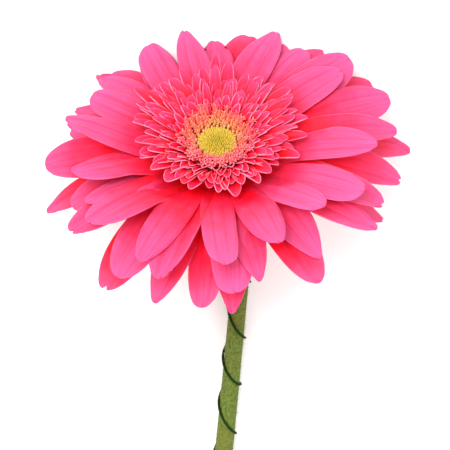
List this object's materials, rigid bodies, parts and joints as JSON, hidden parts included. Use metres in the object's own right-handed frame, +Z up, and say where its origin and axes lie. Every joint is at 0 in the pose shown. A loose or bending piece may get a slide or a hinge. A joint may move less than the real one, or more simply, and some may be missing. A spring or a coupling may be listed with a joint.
{
  "type": "cut gerbera",
  "caption": "Cut gerbera daisy lying down: layered hot-pink petals round an orange and yellow disc on a bare green stem wound with thin florist's wire.",
  "frame": {"origin": "centre of the flower's outline on the surface that it lies on", "axes": "+Y along the stem from the cut end to the head, +Z up, away from the surface"},
  "size_m": [0.1116, 0.2854, 0.0669],
  "materials": {
    "petal": "satin petal, hot pink with a red base",
    "trans_petal": "satin petal, pink with pale edges",
    "disc": "matt orange to coral florets",
    "eye": "matt green-yellow buds",
    "green": "matt green, finely haired",
    "wire": "dark green lacquered wire"
  },
  "bodies": {
    "root": {"ray_florets": "petal", "trans_florets": "trans_petal", "disc_florets": "disc", "eye_buds": "eye", "involucre": "green", "stem": "green", "florists_wire": "wire"}
  },
  "joints": []
}
